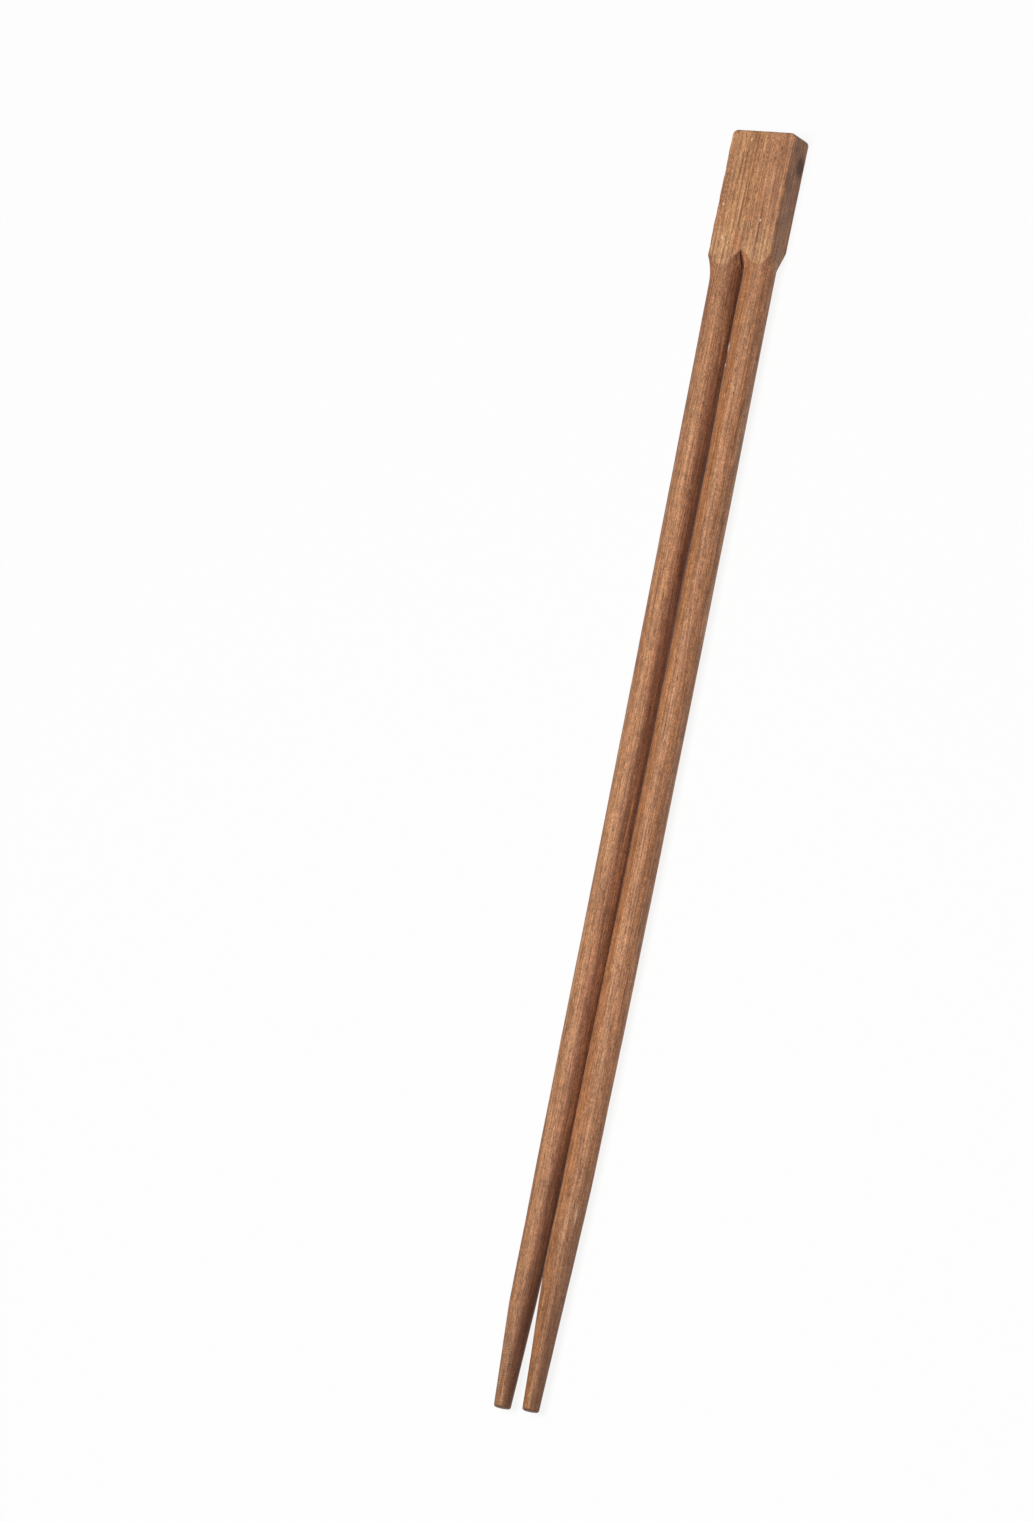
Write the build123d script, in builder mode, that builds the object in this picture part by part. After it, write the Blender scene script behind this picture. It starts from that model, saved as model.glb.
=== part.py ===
from build123d import *
from math import hypot
import os

# A pair of bamboo chopsticks that hasn't been split yet: two round sticks and the flat
# head that joins them are one piece, milled from a single strip of bamboo. It lies on
# the lower face of its head and on narrow flats under the sticks. X runs across the
# pair, Y runs along it from the tips to the butt of the head, and Z is up from the
# surface it lies on. Sizes in millimetres.

# Overall
overall_length = 230.0      # tips to butt
head_length = 24.9          # butt to where the sticks are fully round, on the upper side

# Sticks. Their undersides keep a narrow flat of the strip's lower face, on which the
# pair lies, level with the head.
stick_diameter = 5.6        # at the head and over most of the length
stick_gap = 0.75            # clear space between the sticks, where they leave the head
tip_lean = 0.35             # how far each stick leans towards the other, at its tip
taper_length = 80.0         # tip to where the gentle taper begins
point_length = 18.5         # tip to where the steep taper begins
point_diameter = 4.5        # where the steep taper begins
tip_diameter = 2.95
tip_edge_radius = 0.35
lower_flat_depth = 0.05     # how far the flat cuts into the round of a stick

# Head
side_land = 0.28            # how far the head stands out past each stick, at the side
upper_land = 0.08           # how far the head stands out above the sticks
butt_corner_radius = 0.6    # seen from above
head_edge_radius = 0.25     # along the four long edges and round the butt

# Shoulders, where the sticks swell into the head. The upper and the lower side are
# milled by two cutters, which don't start at quite the same place.
upper_shoulder_length = 3.9
lower_shoulder_length = 5.6
lower_shoulder_lead = 1.2   # how much nearer the butt the lower shoulder starts
shoulder_overrun = 0.12     # how far past the head's corners the shoulder's arc ends

# Slit, sawn between the sticks into the notch of the head
slit_width = 0.4
slit_depth = 3.1            # past the place where the sticks are fully round
slit_point_length = 0.8     # the slit narrows to nothing over this length

# Worked out
stick_pitch = stick_diameter + stick_gap
head_width = stick_pitch + stick_diameter + 2 * side_land
axis_height = stick_diameter / 2 - lower_flat_depth
head_thickness = axis_height + stick_diameter / 2 + upper_land
butt_y = overall_length / 2
shoulder_y = butt_y - head_length
stick_length = overall_length - head_length
head_reach = max(stick_pitch, head_width - stick_pitch) / 2
head_rise = max(axis_height, head_thickness - axis_height)
swell_radius = hypot(head_reach, head_rise) + shoulder_overrun

# Which way from the stick's axis each cutter's profile is drawn, before it is turned
# half way round that axis, then where its shoulder starts and how long it is.
cutters = [
    (-1, 0, upper_shoulder_length),
    (1, lower_shoulder_lead, lower_shoulder_length),
]

# What the cutters leave: two tapered round sticks that swell until they hold the whole
# section of the head. Each profile stands on the stick's axis, from the shoulder.
with BuildPart() as milled_form:
    for side in (-1, 1):
        stick_plane = Plane(
            origin=(side * stick_pitch / 2, shoulder_y, axis_height),
            x_dir=(stick_length, -side * tip_lean, 0),
            z_dir=(0, 0, 1),
        )
        for outward, shoulder_start, shoulder_length in cutters:
            swell_end = (outward * swell_radius, shoulder_start + shoulder_length)
            swell_start = (outward * stick_diameter / 2, shoulder_start)
            taper_start = (outward * stick_diameter / 2, taper_length - stick_length)
            point_start = (outward * point_diameter / 2, point_length - stick_length)
            with BuildSketch(stick_plane):
                with BuildLine():
                    TangentArc(swell_end, swell_start, tangent=(0, -1))
                    Line(swell_start, taper_start)
                    TangentArc(taper_start, point_start, tangent=(0, -1))
                    Polyline(
                        point_start,
                        (outward * tip_diameter / 2, -stick_length),
                        (0, -stick_length),
                        (0, head_length),
                        (outward * swell_radius, head_length),
                        swell_end,
                    )
                make_face()
            revolve(axis=Axis(stick_plane.origin, stick_plane.y_dir), revolution_arc=180)
    fillet(milled_form.edges().group_by(Axis.Y)[0], radius=tip_edge_radius)

# The strip of bamboo, cut down to that form, with the slit sawn between the sticks.
with BuildPart() as joined_chopsticks:
    with BuildSketch():
        strip = Rectangle(head_width, overall_length)
        fillet(strip.vertices().group_by(Axis.Y)[-1], radius=butt_corner_radius)
    extrude(amount=head_thickness)
    flat_faces = joined_chopsticks.faces().filter_by(Axis.Z)
    fillet(flat_faces.edges(), radius=head_edge_radius)
    add(milled_form.part, mode=Mode.INTERSECT)

    slit_end_y = shoulder_y + slit_depth
    with BuildSketch():
        with BuildLine():
            Polyline(
                (-slit_width / 2, shoulder_y),
                (-slit_width / 2, slit_end_y - slit_point_length),
                (0, slit_end_y),
                (slit_width / 2, slit_end_y - slit_point_length),
                (slit_width / 2, shoulder_y),
                close=True,
            )
        make_face()
    extrude(amount=head_thickness, mode=Mode.SUBTRACT)

joined_chopsticks.part.label = "joined_chopsticks"

os.makedirs("parts", exist_ok=True)
export_step(joined_chopsticks.part, "parts/joined_chopsticks.step")
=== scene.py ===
from math import atan2, cos, pi, radians, sin

import bmesh
import bpy
import numpy as np
from mathutils import Matrix, Vector, noise


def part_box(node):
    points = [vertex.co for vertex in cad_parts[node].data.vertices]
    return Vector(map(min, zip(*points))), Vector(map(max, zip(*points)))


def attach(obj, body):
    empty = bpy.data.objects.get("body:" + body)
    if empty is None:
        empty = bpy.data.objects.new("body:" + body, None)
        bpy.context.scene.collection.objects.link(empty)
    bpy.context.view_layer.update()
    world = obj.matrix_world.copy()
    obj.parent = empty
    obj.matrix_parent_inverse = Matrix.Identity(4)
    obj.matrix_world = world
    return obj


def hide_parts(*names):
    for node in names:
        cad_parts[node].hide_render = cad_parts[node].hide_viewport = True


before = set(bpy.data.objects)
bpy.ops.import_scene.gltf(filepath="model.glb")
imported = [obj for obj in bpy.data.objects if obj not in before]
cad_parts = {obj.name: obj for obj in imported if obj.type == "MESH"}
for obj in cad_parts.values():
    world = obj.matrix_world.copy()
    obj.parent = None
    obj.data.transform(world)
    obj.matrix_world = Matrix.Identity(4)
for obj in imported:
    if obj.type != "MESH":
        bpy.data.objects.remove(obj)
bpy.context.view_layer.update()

# A pair of joined bamboo chopsticks on a pale table. Shapes are worked out in
# millimetres, in the part's own frame: X across the pair, Y from the tips to the butt of
# the head, Z up from the table. The mesh is brought to metres when it is carved.

MM = 0.001
CAD_NODE = "joined_chopsticks"
cad_low, cad_high = (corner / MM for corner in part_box(CAD_NODE))

# ---------------------------------------------------------------- sizes of the part
HEAD_WIDTH = cad_high.x - cad_low.x
THICKNESS = cad_high.z - cad_low.z
BUTT_Y = cad_high.y
TIP_Y = cad_low.y

STICK_RADIUS = 2.8
STICK_PITCH = 6.35          # between the sticks' axes, at the head
AXIS_HEIGHT = 2.75
HEAD_LENGTH = 24.9          # butt to where the sticks are round
TIP_LEAN = 0.35             # how far each axis leans in, at the tip
TAPER_LENGTH = 80.0
POINT_LENGTH = 18.5
POINT_RADIUS = 2.25
TIP_RADIUS = 1.475
TIP_EDGE = 0.38
HEAD_EDGE = 0.25            # worn round on the head's long edges
BUTT_CORNER = 0.95
SLIT_HALF_WIDTH = 0.2
SLIT_DEPTH = 3.1
SLIT_POINT = 0.8            # the slit narrows to nothing over this length
SWELL_RADIUS = 4.4          # how wide the turned form grows inside the head
WORN_Y = (107.5, 103.5)     # the +X upper edge of the head is worn from here, fully from there

HALF_PITCH = STICK_PITCH / 2
SHOULDER_Y = BUTT_Y - HEAD_LENGTH
SLIT_END_Y = SHOULDER_Y + SLIT_DEPTH
STICK_LENGTH = SHOULDER_Y - TIP_Y
TOP = THICKNESS - AXIS_HEIGHT       # the faces of the head, from the sticks' axes
BOTTOM = -AXIS_HEIGHT
OUTER = HEAD_WIDTH / 2 - HALF_PITCH

# Shoulders, round each stick: the angle in degrees (0 is outward, 90 is up, 180 is
# towards the other stick), where the swelling starts past the round stick, how long it
# takes to reach its full radius, and how hollow it is (1 is a straight cone).
SHOULDERS = {
    -1: [
        (-90, 1.2, 5.6, 1.2), (-30, 0.6, 5.2, 1.2), (10, -2.3, 5.6, 1.9), (40, -3.2, 5.7, 2.2),
        (60, -2.7, 6.0, 2.2), (75, -1.4, 6.3, 2.0), (90, -0.9, 4.5, 2.0), (108, -1.3, 3.9, 2.0),
        (125, -1.5, 4.9, 2.0), (138, -1.5, 4.9, 2.2), (180, -1.0, 5.2, 2.0),
        (222, 0.8, 4.9, 1.4), (270, 1.2, 5.6, 1.2),
    ],
    1: [
        (-90, 0.9, 5.6, 1.2), (-30, 0.6, 4.9, 1.05), (0, -0.3, 5.3, 1.3), (40, -1.2, 4.7, 2.0),
        (55, -2.3, 5.1, 2.0), (67, -1.7, 5.8, 2.0), (90, -0.9, 8.0, 2.0), (102, -0.6, 7.5, 2.0),
        (115, -0.5, 5.7, 2.0), (138, -1.5, 4.9, 2.2), (180, -1.0, 5.2, 2.0),
        (222, 0.8, 4.9, 1.4), (270, 1.2, 5.6, 1.2),
    ],
}
TORN_DEPTH = 0.25           # how unevenly the shoulders of the -X stick are torn
TORN_SCALE = 2.3
TORN_SEED = 4

# Where the flat upper face of the head ends, if the shoulders leave it that far: a torn
# line on the -X side, and a round tongue on the +X side.
TORN_END_Y = SHOULDER_Y + 0.35
TONGUE_END_Y = SHOULDER_Y + 0.8
TONGUE_X = 3.9
TONGUE_BEND = 0.17

# The strip isn't quite straight, nor are the sticks quite alike. Places along Y, then
# how far each stick's axis drifts towards +X there, and how much its radius differs.
DRIFT_Y = (-114, -105, -97, -90, -83, -75, -60, -20, 20, 50, 79, 90, 97, 115)
DRIFT_X = {
    -1: (-0.05, -0.06, -0.10, 0.00, 0.11, 0.12, 0.22, 0.29, 0.18, 0.06, -0.10, -0.17, -0.22, -0.03),
    1: (-0.06, -0.08, -0.20, -0.24, -0.12, 0.12, 0.14, 0.34, 0.36, 0.21, -0.14, -0.18, -0.14, 0.03),
}
EXTRA_RADIUS = {
    -1: (0.02, 0.05, 0.10, 0.10, 0.05, 0.02, -0.03, -0.04, 0.02, 0.06, 0.12, 0.12, 0.0, 0.0),
    1: (-0.01, -0.05, -0.05, 0.08, 0.09, 0.03, -0.03, -0.09, -0.08, -0.05, 0.08, 0.08, 0.0, 0.0),
}
DRIFT_BLEND = 4.0                   # below the head, over which both drifts become one

NOISE_STEP = (17.3, 5.1, -9.7)      # from one seed's noise to the next


def smooth(low, high, value):
    """0 up to low and 1 from high on, with an even curve between them."""
    t = np.clip((value - low) / (high - low), 0.0, 1.0)
    return t * t * (3 - 2 * t)


def perlin(points, scale, seed):
    """Smooth noise from -1 to 1 at an array of points, with one scale or one for each axis."""
    shift = Vector([step * seed for step in NOISE_STEP])
    scaled = points * np.asarray(scale)
    return np.array([noise.noise(Vector(p) + shift) for p in scaled])


# ---------------------------------------------------------------- form of the sticks
def turned_radius(y):
    """Radius of a stick at y, before it swells into the head."""
    from_tip = y - TIP_Y
    drop = STICK_RADIUS - POINT_RADIUS
    run = TAPER_LENGTH - POINT_LENGTH
    arc = (run**2 + drop**2) / (2 * drop)
    into = np.clip(TAPER_LENGTH - from_tip, 0, run)
    radius = STICK_RADIUS - (arc - np.sqrt(arc**2 - into**2))
    point = TIP_RADIUS + (POINT_RADIUS - TIP_RADIUS) * from_tip / POINT_LENGTH
    radius = np.where(from_tip < POINT_LENGTH, point, radius)
    inset = np.clip(TIP_EDGE - from_tip, 0, TIP_EDGE)
    return radius - (TIP_EDGE - np.sqrt(TIP_EDGE**2 - inset**2))


def drift(side, y):
    """Sideways drift of a stick's axis. Both drift alike in the head."""
    own = np.interp(y, DRIFT_Y, DRIFT_X[side])
    both = (np.interp(y, DRIFT_Y, DRIFT_X[-1]) + np.interp(y, DRIFT_Y, DRIFT_X[1])) / 2
    return own + (both - own) * smooth(SHOULDER_Y - DRIFT_BLEND, SHOULDER_Y, y)


def turned_form(side, angle, y):
    """Radius of the turned form at an angle round the stick's axis, 0 being outward."""
    table = np.array(SHOULDERS[side])
    degrees = (np.degrees(angle) + 90) % 360 - 90
    start, length, hollow = (np.interp(degrees, table[:, 0], table[:, i]) for i in (1, 2, 3))
    if side < 0:
        ring = STICK_RADIUS * np.stack([np.sin(angle), np.cos(angle), 0 * angle], -1)
        torn = perlin(ring.reshape(-1, 3), TORN_SCALE, TORN_SEED).reshape(angle.shape)
        start = start + TORN_DEPTH * torn
    stick = turned_radius(y) + np.interp(y, DRIFT_Y, EXTRA_RADIUS[side])
    share = np.clip((y - SHOULDER_Y - start) / length, 0, 1)
    return stick + (SWELL_RADIUS - stick) * share**hollow


def worn_edge(side, upper, y):
    """Radius of the head's long outer edge. The upper one on the +X side is worn down."""
    wear = 0.10 * np.sin(0.9 * y + side) + 0.06 * np.sin(2.3 * y)
    if side > 0:
        top = 0.22 + (0.42 + wear) * smooth(*WORN_Y, y)
    else:
        top = 0.30 + 0.8 * wear
    return np.where(upper, top, HEAD_EDGE + 0.1)


def strip_distance(side, across, height, y):
    """How far a point of the cross-section is outside the strip, negative inside."""
    from_butt = np.clip(BUTT_Y - y, 0, None)
    corner_in = np.clip(BUTT_CORNER - from_butt, 0, BUTT_CORNER)
    edge_in = np.clip(HEAD_EDGE - from_butt, 0, HEAD_EDGE)
    side_loss = BUTT_CORNER - np.sqrt(BUTT_CORNER**2 - corner_in**2)
    face_loss = HEAD_EDGE - np.sqrt(HEAD_EDGE**2 - edge_in**2)
    outer, top, bottom = OUTER - side_loss, TOP - face_loss, BOTTOM + face_loss
    middle, half = (top + bottom) / 2, (top - bottom) / 2
    edge = worn_edge(side, height > middle, y)
    dx = across - (outer - edge)
    dz = np.abs(height - middle) - (half - edge)
    outside = np.hypot(np.maximum(dx, 0), np.maximum(dz, 0))
    return outside + np.minimum(np.maximum(dx, dz), 0) - edge


def slit_half(y):
    """Half the width of the slit at y. It narrows to nothing at its end."""
    left = SLIT_END_Y - y
    return SLIT_HALF_WIDTH * np.clip(left / SLIT_POINT, 0, 1)


# ---------------------------------------------------------------- mesh of the pair
# Each stick is a tube of rays cast from its axis, the same rays at every station along
# it. Two rays point at the edges of the slit. Past the slit's end the rays between them
# stop, and the two tubes are welded along the seam in which their open sections meet.
TOP_RAY = atan2(TOP, -HALF_PITCH)
BOTTOM_RAY = atan2(BOTTOM, -HALF_PITCH)
TOP_CORNER = atan2(TOP, OUTER)
BOTTOM_CORNER = atan2(BOTTOM, OUTER)
CORNER_SPAN = radians(5)            # to each side of a corner, with rays closer together
RAY_REACH = 8.0                     # farther off than any corner of the strip
HALVINGS = 28                       # of that reach, until a ray has found the surface
FINE_Y = SHOULDER_Y - 1.5           # the stations are closer together from here
COARSE_Y = SHOULDER_Y + 8           # up to here
CAP_RINGS = (0.9, 0.7, 0.45, 0.2, 0.0)      # of an end cap, as shares of its rim
WELD_DISTANCE = 0.004
SLIVER = 0.0005                     # edges shorter than this are dissolved


def ray_angles():
    """Angles of the outer rays, from one edge of the slit to the other, and the inner ones."""
    runs = [
        (BOTTOM_RAY, BOTTOM_CORNER - CORNER_SPAN, 30),
        (BOTTOM_CORNER - CORNER_SPAN, BOTTOM_CORNER + CORNER_SPAN, 9),
        (BOTTOM_CORNER + CORNER_SPAN, TOP_CORNER - CORNER_SPAN, 24),
        (TOP_CORNER - CORNER_SPAN, TOP_CORNER + CORNER_SPAN, 9),
        (TOP_CORNER + CORNER_SPAN, TOP_RAY, 30),
    ]
    outer = np.concatenate([np.linspace(a, b, n, endpoint=False) for a, b, n in runs])
    outer = np.append(outer, TOP_RAY)
    inner = np.linspace(TOP_RAY, BOTTOM_RAY + 2 * pi, 25)[1:-1]
    return outer, inner


def stations():
    """Places along Y, closer together at the shoulder, the head and the ends."""
    runs = [
        (TIP_Y + TIP_EDGE, FINE_Y, 225),
        (FINE_Y, SLIT_END_Y, 32),
        (SLIT_END_Y, COARSE_Y, 28),
        (COARSE_Y, BUTT_Y - BUTT_CORNER, 41),
    ]
    tip_end = [TIP_Y + TIP_EDGE * (1 - cos(a)) for a in np.linspace(0, pi / 2, 6)]
    length = [np.linspace(a, b, n + 1)[1:] for a, b, n in runs]
    butt_end = [BUTT_Y - BUTT_CORNER * (1 - sin(a)) for a in np.linspace(0, pi / 2, 8)][1:]
    return np.concatenate([tip_end, *length, butt_end])


def cast(side, angle, y):
    """Distance from the stick's axis to the surface, and how deep it is in the strip there.

    The depth is below 0 where the strip's own face cuts the turned form off.
    """
    turned = turned_form(side, angle, y)
    wall = slit_half(y) - HALF_PITCH
    near, far = np.zeros_like(turned), np.full_like(turned, RAY_REACH)
    for _ in range(HALVINGS):
        middle = (near + far) / 2
        across, height = middle * np.cos(angle), middle * np.sin(angle)
        outside = np.maximum(strip_distance(side, across, height, y), wall - across)
        near, far = np.where(outside < 0, middle, near), np.where(outside < 0, far, middle)
    return np.minimum(near, turned), near - turned


def side_grid(side, ys, outer, inner):
    """Points and depths of one stick and its half of the head, stations by rays."""
    angle = np.concatenate([outer, inner])
    grid_angle, grid_y = np.meshgrid(angle, ys)
    reach, depth = cast(side, grid_angle, grid_y)
    across = reach * np.cos(grid_angle)
    height = reach * np.sin(grid_angle)
    # The two rays at the slit end on its edges, wherever the turned form reaches them.
    wall = slit_half(ys) - HALF_PITCH
    from_butt = np.clip(BUTT_Y - ys, 0, HEAD_EDGE)
    loss = HEAD_EDGE - np.sqrt(HEAD_EDGE**2 - (HEAD_EDGE - from_butt) ** 2)
    for ray, face in ((0, BOTTOM), (len(outer) - 1, TOP)):
        turned = turned_form(side, np.full_like(ys, angle[ray]), ys)
        reached = turned > np.abs(wall)
        rise = np.sqrt(np.maximum(turned**2 - wall**2, 0))
        edge = np.sign(face) * (np.minimum(rise, abs(face)) - loss)
        across[:, ray] = np.where(reached, wall, across[:, ray])
        height[:, ray] = np.where(reached, edge, height[:, ray])
    lean = TIP_LEAN * np.clip((SHOULDER_Y - grid_y) / STICK_LENGTH, 0, 1)
    x = side * (HALF_PITCH - lean + across) + drift(side, grid_y)
    return np.stack([x, grid_y, AXIS_HEIGHT + height], -1), depth


def tube_faces(ys, rays, outer_rays):
    """Faces from station to station. Past the slit's end only the outer rays have them."""
    faces = []
    slit_end = np.argmin(np.abs(ys - SLIT_END_Y))
    for station in range(len(ys) - 1):
        here, there = station * rays, (station + 1) * rays
        for ray in range(rays if station < slit_end else outer_rays - 1):
            after = (ray + 1) % rays
            faces.append((here + ray, here + after, there + after, there + ray))
    return faces


def end_cap(rim, centre, rim_index, next_index, closed):
    """Rings of points that close a rim on its centre, and the faces between the rings."""
    points, faces = [], []
    count = len(rim)
    for share in CAP_RINGS:
        points.append(centre + (rim - centre) * share)
        for ray in range(count if closed else count - 1):
            after = (ray + 1) % count
            faces.append((rim_index + ray, rim_index + after, next_index + after, next_index + ray))
        rim_index, next_index = next_index, next_index + count
    return np.concatenate(points), faces


def side_mesh(side, ys, outer, inner):
    """Points, depths and faces of one stick and its half of the head."""
    grid, depth = side_grid(side, ys, outer, inner)
    rays = len(outer) + len(inner)
    tip_centre = (side * (HALF_PITCH - TIP_LEAN) + drift(side, TIP_Y), TIP_Y, AXIS_HEIGHT)
    tip, tip_faces = end_cap(grid[0], np.array(tip_centre), 0, depth.size, closed=True)
    # Each half of the butt closes on the middle of the seam.
    butt_centre = np.array((0, BUTT_Y, THICKNESS / 2))
    butt_rim, last = grid[-1, :len(outer)], depth.size - rays
    butt, butt_faces = end_cap(butt_rim, butt_centre, last, depth.size + len(tip), closed=False)
    points = np.concatenate([grid.reshape(-1, 3), tip, butt])
    depths = np.concatenate([depth.reshape(-1), np.full(len(tip) + len(butt), -1.0)])
    faces = tube_faces(ys, rays, len(outer)) + [face[::-1] for face in tip_faces] + butt_faces
    return points, depths, faces


def pair_mesh():
    """Points, depths and faces of the whole pair."""
    outer, inner = ray_angles()
    ys = stations()
    left, left_depths, left_faces = side_mesh(-1, ys, outer, inner)
    right, right_depths, right_faces = side_mesh(1, ys, outer, inner)
    faces = [face[::-1] for face in left_faces]
    faces += [tuple(len(left) + index for index in face) for face in right_faces]
    return np.concatenate([left, right]), np.concatenate([left_depths, right_depths]), faces


def make_object(name, points, depths, faces):
    """An object with each point's depth kept as its attribute "turned"."""
    mesh = bpy.data.meshes.new(name)
    mesh.from_pydata(points.tolist(), [], faces)
    turned = mesh.attributes.new("turned", "FLOAT", "POINT")
    turned.data.foreach_set("value", depths.astype(np.float32))
    piece = bpy.data.objects.new(name, mesh)
    bpy.context.scene.collection.objects.link(piece)
    return piece


def join_seam(piece):
    """Welds the two halves along the seam and closes what is left open at the slit's end."""
    work = bmesh.new()
    work.from_mesh(piece.data)
    bmesh.ops.remove_doubles(work, verts=work.verts, dist=WELD_DISTANCE)
    bmesh.ops.dissolve_degenerate(work, edges=work.edges, dist=SLIVER)
    open_edges = [edge for edge in work.edges if edge.is_boundary]
    filled = bmesh.ops.holes_fill(work, edges=open_edges, sides=0)
    bmesh.ops.triangulate(work, faces=filled["faces"])
    bmesh.ops.recalc_face_normals(work, faces=work.faces)
    work.to_mesh(piece.data)
    work.free()


def mesh_arrays(mesh):
    points = np.empty(len(mesh.vertices) * 3)
    mesh.vertices.foreach_get("co", points)
    normals = np.array([v.normal for v in mesh.vertices])
    return points.reshape(-1, 3), normals


# ---------------------------------------------------------------- relief of the wood
SETTLING = 0.012            # the relief as a whole lies this much deeper than the form
TABLE_GAP = 0.004           # the underside keeps this far above the table
MILLED_DEPTH = (-0.02, 0.06)        # a face of the strip up to the first, milled from the second
FACE_END_BLUR = 0.12                # to each side of the upper face's end


def relief(points):
    """How far the surface stands out from its plain form, in millimetres."""
    on_head = smooth(SHOULDER_Y + 1, SHOULDER_Y + 5, points[:, 1])
    flutes = 0.014 * perlin(points, (1.7, 0.03, 1.7), 1)
    fibres = 0.008 * perlin(points, (4.2, 0.09, 4.2), 2)
    waves = 0.030 * perlin(points, (0.22, 0.045, 0.22), 3) * (1 - 0.6 * on_head)
    ripple = 0.012 * perlin(points, (0.5, 0.28, 0.5), 5)
    return flutes + fibres + waves + ripple - SETTLING


def face_end(x):
    """Y where the flat upper face of the head ends."""
    torn = TORN_END_Y + 0.12 * np.sin(4.0 * x) + 0.06 * np.sin(9.7 * x)
    tongue = TONGUE_END_Y + TONGUE_BEND * (x - TONGUE_X) ** 2
    return np.where(x < 0, torn, tongue)


def carve(piece):
    """Adds the relief, and turns each point's depth into a mask: 1 where it was milled round."""
    mesh = piece.data
    points, normals = mesh_arrays(mesh)
    turned = np.empty(len(points), np.float32)
    mesh.attributes["turned"].data.foreach_get("value", turned)
    past_face = smooth(FACE_END_BLUR, -FACE_END_BLUR, points[:, 1] - face_end(points[:, 0]))
    points = points + normals * relief(points)[:, None]
    points[:, 2] = np.clip(points[:, 2], TABLE_GAP, None)
    mesh.vertices.foreach_set("co", (points * MM).ravel())
    mask = np.maximum(smooth(*MILLED_DEPTH, turned), past_face)
    mesh.attributes["turned"].data.foreach_set("value", mask.astype(np.float32))
    mesh.update()


# ---------------------------------------------------------------- material
class Graph:
    """Short names for making and joining shader nodes."""

    def __init__(self, tree):
        self.tree = tree

    def node(self, kind, inputs=None, **settings):
        made = self.tree.nodes.new(kind)
        for key, value in settings.items():
            setattr(made, key, value)
        for key, value in (inputs or {}).items():
            self.feed(made.inputs[key], value)
        return made

    def feed(self, socket, value):
        if isinstance(value, bpy.types.NodeSocket):
            self.tree.links.new(value, socket)
        else:
            socket.default_value = value

    def math(self, operation, a, b=0.0, c=0.0):
        made = self.node("ShaderNodeMath", {0: a, 1: b, 2: c}, operation=operation)
        return made.outputs[0]

    def product(self, result, *factors):
        for factor in factors:
            result = self.math("MULTIPLY", result, factor)
        return result

    def vector(self, operation, a, b):
        made = self.node("ShaderNodeVectorMath", {0: a, 1: b}, operation=operation)
        return made.outputs["Vector"]

    def length(self, a):
        made = self.node("ShaderNodeVectorMath", {0: a}, operation="LENGTH")
        return made.outputs["Value"]

    def noise(self, place, scale, detail=3.0, rough=0.55):
        """Noise from about 0 to 1, with its scale along each axis."""
        spot = self.vector("MULTIPLY", place, scale)
        made = self.node(
            "ShaderNodeTexNoise",
            {"Vector": spot, "Scale": 1.0, "Detail": detail, "Roughness": rough},
        )
        return made.outputs["Fac"]

    def cells(self, place, scale):
        """Distance to the nearest of scattered points, and that point's random colour."""
        spot = self.vector("MULTIPLY", place, scale)
        made = self.node("ShaderNodeTexVoronoi", {"Vector": spot, "Scale": 1.0})
        return made.outputs["Distance"], made.outputs["Color"]

    def ramp(self, value, low, high, to_low=0.0, to_high=1.0, kind="SMOOTHSTEP"):
        made = self.node(
            "ShaderNodeMapRange",
            {"Value": value, "From Min": low, "From Max": high,
             "To Min": to_low, "To Max": to_high},
            interpolation_type=kind,
        )
        return made.outputs["Result"]

    def colours(self, value, stops):
        made = self.node("ShaderNodeValToRGB", {"Fac": value})
        ramp = made.color_ramp
        while len(ramp.elements) < len(stops):
            ramp.elements.new(0.5)
        for element, (place, colour) in zip(ramp.elements, stops):
            element.position = place
            element.color = (*colour, 1.0)
        return made.outputs["Color"]

    def mix(self, share, a, b):
        made = self.node("ShaderNodeMix", data_type="RGBA")
        self.feed(made.inputs[0], share)
        self.feed(made.inputs[6], a if isinstance(a, bpy.types.NodeSocket) else (*a, 1.0))
        self.feed(made.inputs[7], b if isinstance(b, bpy.types.NodeSocket) else (*b, 1.0))
        return made.outputs[2]

    def tint(self, colour, value):
        """The colour made lighter or darker by a factor near 1."""
        made = self.node("ShaderNodeVectorMath", {0: colour}, operation="SCALE")
        self.feed(made.inputs["Scale"], value)
        return made.outputs["Vector"]


# Colours across the strip, from its -X side to its +X side, on the head and the sticks.
HEAD_COLOURS = [
    (0.00, (0.400, 0.190, 0.096)), (0.10, (0.460, 0.222, 0.102)),
    (0.22, (0.490, 0.240, 0.110)), (0.33, (0.450, 0.214, 0.095)),
    (0.45, (0.415, 0.193, 0.085)), (0.55, (0.425, 0.200, 0.092)),
    (0.68, (0.425, 0.196, 0.094)), (0.82, (0.405, 0.190, 0.095)),
    (0.95, (0.400, 0.190, 0.095)),
]
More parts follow.
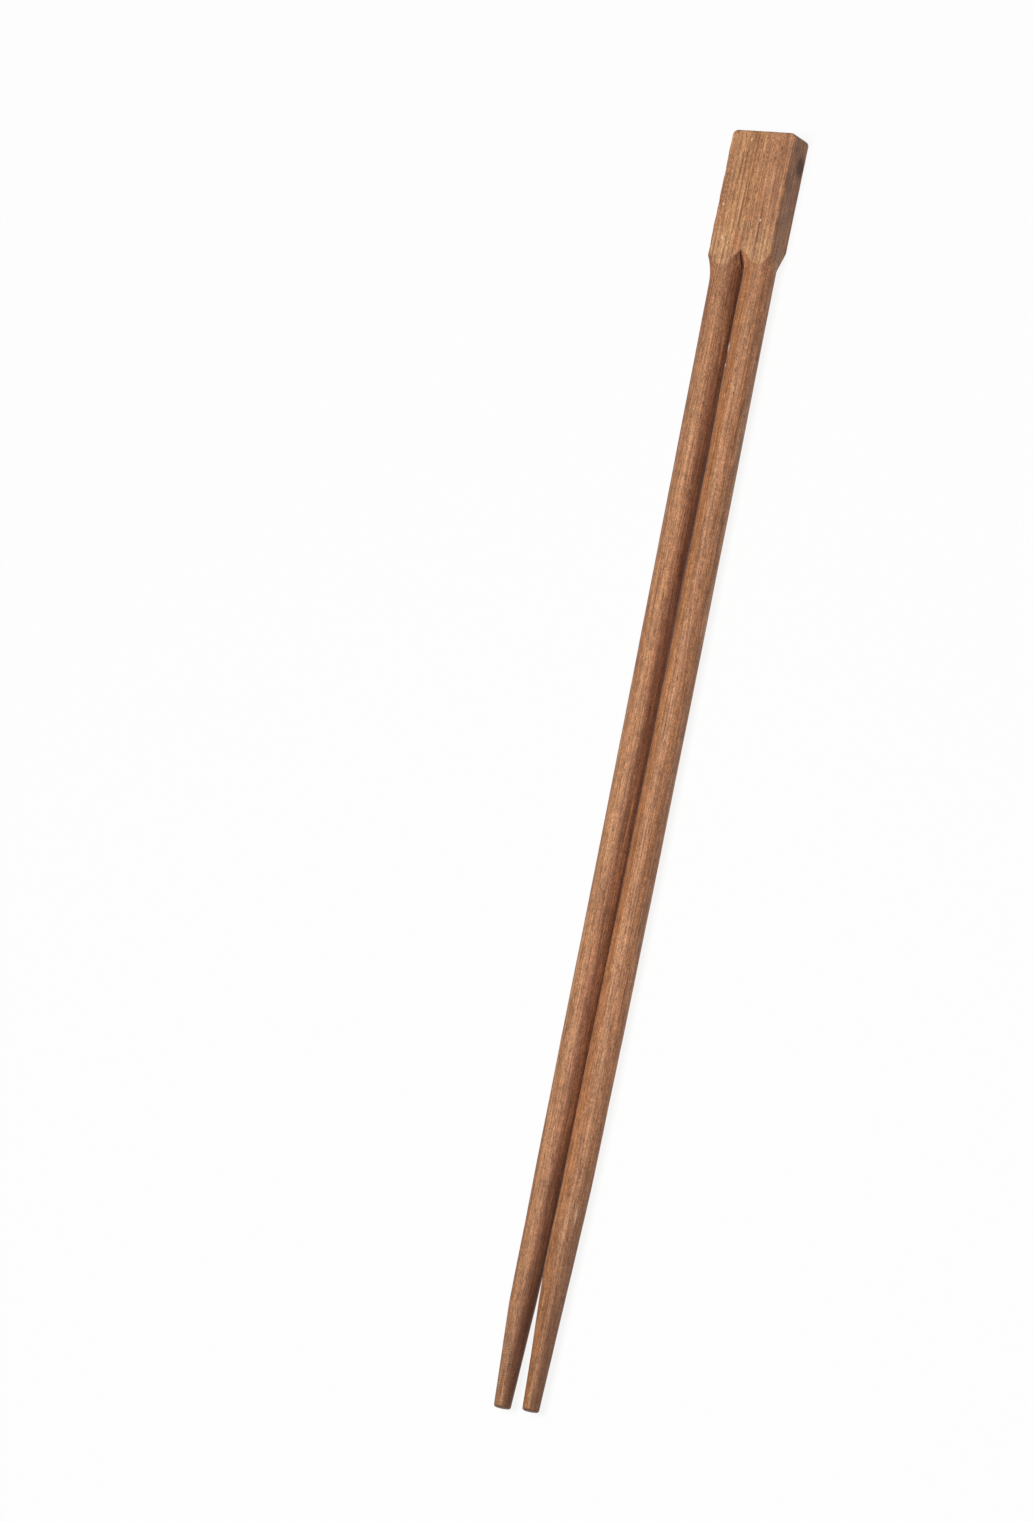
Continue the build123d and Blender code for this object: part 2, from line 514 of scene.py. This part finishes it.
# On the sticks, the stop at 0.45, on the inner flank of the -X stick, is painted shade for the
# crevice between the sticks, and the stop at 0.53, on the inner edge of the +X stick, is lightened
# as a painted highlight along that edge.
STICK_COLOURS_AND_PAINTED_LIGHT = [
    (0.08, (0.330, 0.148, 0.076)), (0.20, (0.425, 0.200, 0.095)),
    (0.295, (0.475, 0.228, 0.108)), (0.345, (0.465, 0.215, 0.104)),
    # painted shade at 0.45: the crevice between the sticks
    (0.40, (0.390, 0.170, 0.086)), (0.45, (0.235, 0.098, 0.052)),
    # painted highlight at 0.53: the inner edge of the +X stick
    (0.53, (0.475, 0.203, 0.092)), (0.61, (0.430, 0.194, 0.090)),
    (0.69, (0.400, 0.160, 0.060)), (0.74, (0.415, 0.187, 0.082)),
    (0.80, (0.465, 0.222, 0.113)), (0.86, (0.465, 0.220, 0.112)),
    (0.90, (0.405, 0.180, 0.086)), (0.93, (0.370, 0.160, 0.074)),
    (0.98, (0.375, 0.178, 0.097)),
]
STRIP_EDGE_X = 6.4                  # the colours' first and last places, either side

# Colours of the surfaces and the grain.
FRESH_CUT = (0.285, 0.118, 0.056)
DULL_SIDE = (0.275, 0.126, 0.066)
HOLLOW = (0.235, 0.090, 0.042)
CROWN = (0.660, 0.365, 0.180)
PORE = (0.150, 0.058, 0.028)
LIFTED_FIBRE = (0.720, 0.460, 0.270)
SHADED_TIP = (0.130, 0.052, 0.030)
END_GRAIN = (0.130, 0.052, 0.028)

# Broad stains and painted shade, under the grain, and small blemishes and painted
# glints over it: centre and reach in millimetres, colour, strength.
CHAR = (0.070, 0.022, 0.010)
DARK = (0.10, 0.040, 0.022)
BROWN = (0.22, 0.085, 0.042)
RUST = (0.34, 0.125, 0.050)
PINK = (0.36, 0.150, 0.088)
GREY = (0.33, 0.195, 0.125)
HONEY = (0.54, 0.290, 0.145)
STRAW = (0.72, 0.43, 0.24)
PALE = (0.85, 0.62, 0.42)
GAP_GLINT = (0.95, 0.80, 0.66)
STAINS_AND_SHADE = [
    # The head.
    ((3.9, 110.5, 5.6), (1.4, 3.2, 0.8), BROWN, 0.34),
    ((4.6, 104.4, 5.6), (0.9, 2.3, 0.8), PINK, 0.40),
    ((-0.4, 109.0, 5.6), (1.6, 1.2, 0.8), BROWN, 0.18),
    ((-0.9, 94.4, 5.6), (1.2, 2.6, 0.8), RUST, 0.75),
    ((-6.2, 100.0, 5.2), (0.45, 8.0, 1.2), RUST, 0.55),
    ((6.2, 109.9, 1.7), (0.9, 2.2, 1.7), CHAR, 0.95),
    ((6.2, 112.4, 4.2), (0.6, 0.8, 0.7), DARK, 0.60),
    ((6.2, 106.0, 4.5), (0.6, 2.0, 0.9), DARK, 0.35),
    ((6.2, 99.5, 3.4), (0.7, 4.2, 1.5), GREY, 0.50),
    ((6.1, 92.5, 2.6), (0.9, 3.2, 1.8), GREY, 0.50),
    # The sticks.
    # Painted shade: the inner flank of the -X stick below the notch, where the +X stick shades it.
    ((-1.3, 86.6, 4.3), (1.3, 8.4, 2.6), BROWN, 0.70),
    ((-4.9, 84.0, 4.6), (0.7, 5.0, 1.5), RUST, 0.45),
    ((5.95, 62.0, 2.6), (0.5, 14.0, 1.6), GREY, 0.45),
    # Painted shade: the inner flank of the -X stick near its tip, shaded by the +X stick.
    ((-1.8, -102.0, 4.3), (0.8, 14.0, 1.8), BROWN, 0.60),
]
BLEMISHES_AND_GLINTS = [
    # The upper face of the head.
    ((-2.45, 105.0, 5.6), (0.15, 9.0, 0.8), BROWN, 0.75),
    ((-1.40, 101.0, 5.6), (0.15, 7.0, 0.8), BROWN, 0.75),
    ((-1.80, 101.5, 5.6), (0.15, 4.5, 0.8), STRAW, 0.75),
    ((2.68, 96.0, 5.6), (0.15, 5.8, 0.8), DARK, 0.70),
    ((1.25, 99.5, 5.6), (0.10, 3.5, 0.8), DARK, 0.40),
    ((2.65, 98.75, 5.6), (0.17, 0.32, 0.5), PALE, 0.9),
    ((4.1, 112.1, 5.6), (0.16, 0.40, 0.6), DARK, 0.9),
    ((0.7, 102.4, 5.6), (0.16, 0.34, 0.6), DARK, 0.85),
    ((-2.2, 113.3, 5.6), (0.20, 0.32, 0.5), PALE, 0.8),
    ((-5.3, 101.3, 5.6), (0.18, 0.26, 0.5), PALE, 0.9),
    ((-4.1, 95.2, 5.6), (0.20, 0.32, 0.5), PALE, 0.75),
    # The sticks.
    # Painted glints: two near-white marks on the inner edge of the +X stick stand in for light
    # showing through the gap between the sticks.
    ((0.78, 75.7, 4.5), (0.60, 0.9, 0.65), GAP_GLINT, 0.97),
    ((0.78, 72.4, 4.5), (0.54, 0.4, 0.6), GAP_GLINT, 0.95),
    ((5.35, 82.8, 5.0), (0.15, 0.34, 0.8), DARK, 0.8),
    ((4.1, 77.1, 5.5), (0.13, 0.26, 0.6), DARK, 0.7),
    ((4.1, 67.3, 5.5), (0.17, 0.34, 0.6), DARK, 0.8),
    ((5.4, 57.7, 4.9), (0.15, 0.34, 0.8), DARK, 0.75),
    ((-2.6, 74.0, 5.5), (0.16, 0.32, 0.6), DARK, 0.6),
    ((-3.3, 52.0, 5.5), (0.12, 1.2, 0.6), DARK, 0.5),
    ((3.6, 31.0, 5.5), (0.12, 1.6, 0.6), DARK, 0.5),
    ((-2.1, 6.0, 5.4), (0.13, 0.9, 0.6), DARK, 0.5),
    ((4.6, -12.0, 5.3), (0.14, 0.5, 0.6), DARK, 0.6),
    ((-3.0, -45.0, 5.3), (0.12, 1.4, 0.6), DARK, 0.5),
    ((3.5, -70.0, 5.1), (0.14, 0.4, 0.6), DARK, 0.6),
    ((4.9, -80.5, 4.6), (0.16, 2.2, 0.8), PALE, 0.45),
]
MARK_PITCH = 0.42                   # from one saw or turning mark to the next


class Wood:
    """The places, directions and grain that the parts of the material share."""

    def __init__(self, g):
        coordinates = g.node("ShaderNodeTexCoord").outputs
        self.place = g.vector("MULTIPLY", coordinates["Object"], (1 / MM,) * 3)
        axes = g.node("ShaderNodeSeparateXYZ", {0: self.place}).outputs
        self.across, self.along = axes["X"], axes["Y"]
        normal = g.node("ShaderNodeSeparateXYZ", {0: coordinates["Normal"]}).outputs
        self.facing_x, self.facing_y = normal["X"], normal["Y"]
        self.turned = g.node("ShaderNodeAttribute", attribute_name="turned").outputs["Fac"]

        # The grain runs along Y and wanders a little.
        wander = g.node(
            "ShaderNodeTexNoise",
            {"Vector": g.vector("MULTIPLY", self.place, (0.10, 0.022, 0.10)),
             "Scale": 1.0, "Detail": 2.0},
        ).outputs["Color"]
        wander = g.vector("SUBTRACT", wander, (0.5, 0.5, 0.5))
        grain = g.vector("ADD", self.place, g.vector("MULTIPLY", wander, (1.6, 0.0, 1.6)))

        self.broad = g.noise(grain, (0.50, 0.012, 0.50), 3.0)
        self.bundles = g.noise(grain, (2.0, 0.045, 2.0), 4.0, 0.65)
        self.fibres = g.noise(grain, (4.4, 0.10, 4.4), 4.0, 0.65)
        self.fine = g.noise(grain, (7.5, 2.2, 7.5), 3.0, 0.6)
        self.mottle = g.noise(self.place, (0.9, 0.55, 0.9), 4.0, 0.65)

        # Pores are short dashes, and where fibres have lifted there are a few pale ones.
        near, chance = g.cells(grain, (2.6, 0.42, 2.6))
        pick = g.node("ShaderNodeSeparateColor", {0: chance}).outputs
        self.pores = g.product(g.ramp(near, 0.32, 0.14), g.ramp(pick["Red"], 0.70, 0.78))
        self.lifted = g.product(g.ramp(near, 0.26, 0.12), g.ramp(pick["Green"], 0.92, 0.95))


def plain_colour(g, wood):
    """Colour of the head and the sticks, before stains and grain."""
    sway = g.product(g.math("SUBTRACT", wood.broad, 0.5), 0.20)
    strip = g.ramp(wood.across, -STRIP_EDGE_X, STRIP_EDGE_X, kind="LINEAR")
    strip = g.math("ADD", strip, sway)

    # The head grows paler towards its shoulder.
    near_shoulder = g.ramp(wood.along, 100.0, 93.5, 0.0, 0.75)
    head = g.mix(near_shoulder, g.colours(strip, HEAD_COLOURS), HONEY)

    # The sticks are darker near the head, but for the inner side of the +X one.
    near_head = g.ramp(wood.along, 64.0, 89.0, 0.0, 0.32)
    from_inner_side = g.math("ABSOLUTE", g.math("SUBTRACT", wood.across, 1.6))
    elsewhere = g.ramp(from_inner_side, 1.7, 0.8, 1.0, 0.15)
    fresh = g.product(wood.turned, near_head, elsewhere)
    sticks = g.mix(fresh, g.colours(strip, STICK_COLOURS_AND_PAINTED_LIGHT), FRESH_CUT)

    # The head's sides are duller than its faces.
    on_head = g.math("SUBTRACT", 1.0, wood.turned)
    sideways = g.ramp(g.math("ABSOLUTE", wood.facing_x), 0.55, 0.85)
    return g.mix(g.product(sideways, on_head, 0.80), g.mix(on_head, sticks, head), DULL_SIDE)


def stained(g, wood, colour, blots):
    """The colour with a soft, ragged blot at each place in a list."""
    for centre, reach, stain, strength in blots:
        offset = g.vector("DIVIDE", g.vector("SUBTRACT", wood.place, centre), reach)
        spread = g.math("ADD", g.length(offset), g.product(wood.fine, 0.6))
        colour = g.mix(g.product(g.ramp(spread, 1.5, 0.7), strength), colour, stain)
    return colour


def grained(g, wood, colour):
    """The colour with bundles and fibres, darker and redder in their hollows, and pores."""
    colour = g.mix(g.ramp(wood.bundles, 0.56, 0.36, 0.0, 0.44), colour, HOLLOW)
    colour = g.mix(g.ramp(wood.bundles, 0.54, 0.68, 0.0, 0.24), colour, CROWN)
    streak = g.ramp(wood.fibres, 0.32, 0.68, 0.71, 1.31)
    speckle = g.ramp(wood.fine, 0.32, 0.68, 0.67, 1.37)
    patch = g.ramp(wood.mottle, 0.30, 0.70, 0.84, 1.18)
    colour = g.tint(colour, g.product(streak, speckle, patch))
    colour = g.mix(g.product(wood.pores, 0.60), colour, PORE)
    return g.mix(g.product(wood.lifted, 0.50), colour, LIFTED_FIBRE)


def darker_ends(g, wood, colour):
    """The colour, darker towards the tips and darkest on the end grain of tips and butt, with
    painted shade on the +X-facing side of the sticks near their tips.
    """
    tip = g.ramp(wood.along, -55.0, -112.0)
    colour = g.tint(colour, g.math("MULTIPLY_ADD", tip, -0.22, 1.0))
    # Painted shade: the side of each stick that faces +X darkens towards the tip.
    shaded = g.product(tip, g.ramp(wood.facing_x, 0.30, 0.75), 0.60)
    colour = g.mix(shaded, colour, SHADED_TIP)
    return g.mix(g.ramp(g.math("ABSOLUTE", wood.facing_y), 0.35, 0.70, 0.0, 0.80), colour, END_GRAIN)


def tool_marks(g, wood):
    """Saw marks across the head, and turning marks round the tips."""
    wobble = g.product(g.noise(wood.place, (0.3, 0.5, 0.3)), 9.0)
    tooth = g.math("SINE", g.math("MULTIPLY_ADD", wood.along, 2 * pi / MARK_PITCH, wobble))
    sawn = g.product(g.ramp(wood.along, 99.0, 106.0), g.ramp(wood.mottle, 0.42, 0.62))
    lathe = g.product(g.ramp(wood.along, -100.0, -109.0), g.ramp(wood.across, 0.6, -0.6), 1.8)
    return g.product(tooth, g.math("ADD", sawn, lathe))


def bamboo():
    material = bpy.data.materials.new("carbonised_bamboo")
    material.use_nodes = True
    material.node_tree.nodes.clear()
    g = Graph(material.node_tree)
    wood = Wood(g)
    marks = tool_marks(g, wood)

    colour = stained(g, wood, plain_colour(g, wood), STAINS_AND_SHADE)
    colour = darker_ends(g, wood, grained(g, wood, colour))
    colour = stained(g, wood, colour, BLEMISHES_AND_GLINTS)
    colour = g.tint(colour, g.math("MULTIPLY_ADD", marks, 0.075, 1.0))

    rough = g.ramp(wood.bundles, 0.30, 0.70, 0.70, 0.56)
    rough = g.math("ADD", rough, g.product(g.math("SUBTRACT", wood.mottle, 0.5), 0.12))

    # Fine relief: each field's height in millimetres.
    height = 0.0
    for field, depth in (
        (wood.bundles, 0.060), (wood.fibres, 0.045), (wood.fine, 0.018),
        (wood.pores, -0.050), (marks, 0.007),
    ):
        height = g.math("MULTIPLY_ADD", field, depth, height)
    bump = g.node(
        "ShaderNodeBump", {"Height": g.product(height, MM), "Strength": 1.0, "Distance": 1.0}
    )

    shader = g.node("ShaderNodeBsdfPrincipled", {
        "Base Color": colour,
        "Roughness": rough,
        "Normal": bump.outputs["Normal"],
        "Specular IOR Level": 0.28,
        "Subsurface Weight": 0.0,
    })
    g.node("ShaderNodeOutputMaterial", {"Surface": shader.outputs[0]})
    return material


SHARP_ANGLE = radians(38)           # edges sharper than this stay sharp

points, depths, faces = pair_mesh()
chopsticks = make_object("chopsticks", points, depths, faces)
join_seam(chopsticks)
carve(chopsticks)
for polygon in chopsticks.data.polygons:
    polygon.use_smooth = True
chopsticks.data.set_sharp_from_angle(angle=SHARP_ANGLE)
chopsticks.data.materials.append(bamboo())
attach(chopsticks, "root")
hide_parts(CAD_NODE)

# ---------------------------------------------------------------- table
TABLE_REACH = 3.0           # metres, from the middle to each side


def pale_table():
    """A flat table that glows, so that it shows nearly as white as in the photo."""
    mesh = bpy.data.meshes.new("table")
    corners = [(-1, -1), (1, -1), (1, 1), (-1, 1)]
    mesh.from_pydata(
        [(TABLE_REACH * x, TABLE_REACH * y, 0) for x, y in corners], [], [(0, 1, 2, 3)]
    )
    white = bpy.data.materials.new("pale_table")
    white.use_nodes = True
    paint = white.node_tree.nodes["Principled BSDF"]
    paint.inputs["Base Color"].default_value = (0.10, 0.10, 0.10, 1)
    paint.inputs["Roughness"].default_value = 0.9
    paint.inputs["Specular IOR Level"].default_value = 0.0
    paint.inputs["Emission Color"].default_value = (1, 1, 1, 1)
    paint.inputs["Emission Strength"].default_value = 0.885
    mesh.materials.append(white)
    piece = bpy.data.objects.new("table", mesh)
    bpy.context.scene.collection.objects.link(piece)
    return piece


table = pale_table()

# ---------------------------------------------------------------- camera
TURN = radians(29.67)       # round the pair's length, towards its +X side
TILT = radians(10.86)       # towards the tips
ROLL = radians(11.34)
DISTANCE = 2.09             # metres, as are the two below
AIM_LEFT = 0.0224           # the camera aims beside the pair, which stands to the right
AIM_UP = 0.0009
LENS = 284.3                # millimetres, as is the sensor
SENSOR = 36.0


def photo_camera():
    """The camera, looking at the pair from the photo's side."""
    back = Vector((sin(TURN) * cos(TILT), -sin(TILT), cos(TURN) * cos(TILT)))
    along = Vector((0, 1, 0))
    along = (along - back * along.dot(back)).normalized()
    beside = along.cross(back)
    right = beside * cos(ROLL) + along * sin(ROLL)
    up = along * cos(ROLL) - beside * sin(ROLL)

    target = Vector((0, 0, THICKNESS / 2 * MM))
    eye = target + back * DISTANCE
    aim = target - right * AIM_LEFT + up * AIM_UP
    sight = (eye - aim).normalized()
    right = up.cross(sight).normalized()
    up = sight.cross(right)

    data = bpy.data.cameras.new("camera")
    data.lens = LENS
    data.sensor_width = SENSOR
    data.clip_end = 20.0
    made = bpy.data.objects.new("camera", data)
    made.matrix_world = Matrix((
        (right.x, up.x, sight.x, eye.x),
        (right.y, up.y, sight.y, eye.y),
        (right.z, up.z, sight.z, eye.z),
        (0, 0, 0, 1),
    ))
    bpy.context.scene.collection.objects.link(made)
    return made


camera = photo_camera()
bpy.context.scene.camera = camera

# ---------------------------------------------------------------- light
def softbox(name, place, size, power):
    """A square light that faces the part."""
    data = bpy.data.lights.new(name, "AREA")
    data.shape = "SQUARE"
    data.size = size
    data.energy = power
    box = bpy.data.objects.new(name, data)
    box.location = place
    box.rotation_euler = (-Vector(place)).to_track_quat("-Z", "Y").to_euler()
    bpy.context.scene.collection.objects.link(box)


softbox("key_softbox", (0.0, -0.12, 1.28), 0.6, 16.0)
softbox("fill_softbox", (-1.2, -0.3, 0.8), 0.9, 0.6)

world = bpy.data.worlds.new("studio")
world.use_nodes = True
surroundings = world.node_tree.nodes["Background"]
surroundings.inputs["Color"].default_value = (1, 1, 1, 1)
surroundings.inputs["Strength"].default_value = 0.10
bpy.context.scene.world = world
bpy.context.scene.view_settings.view_transform = "Standard"
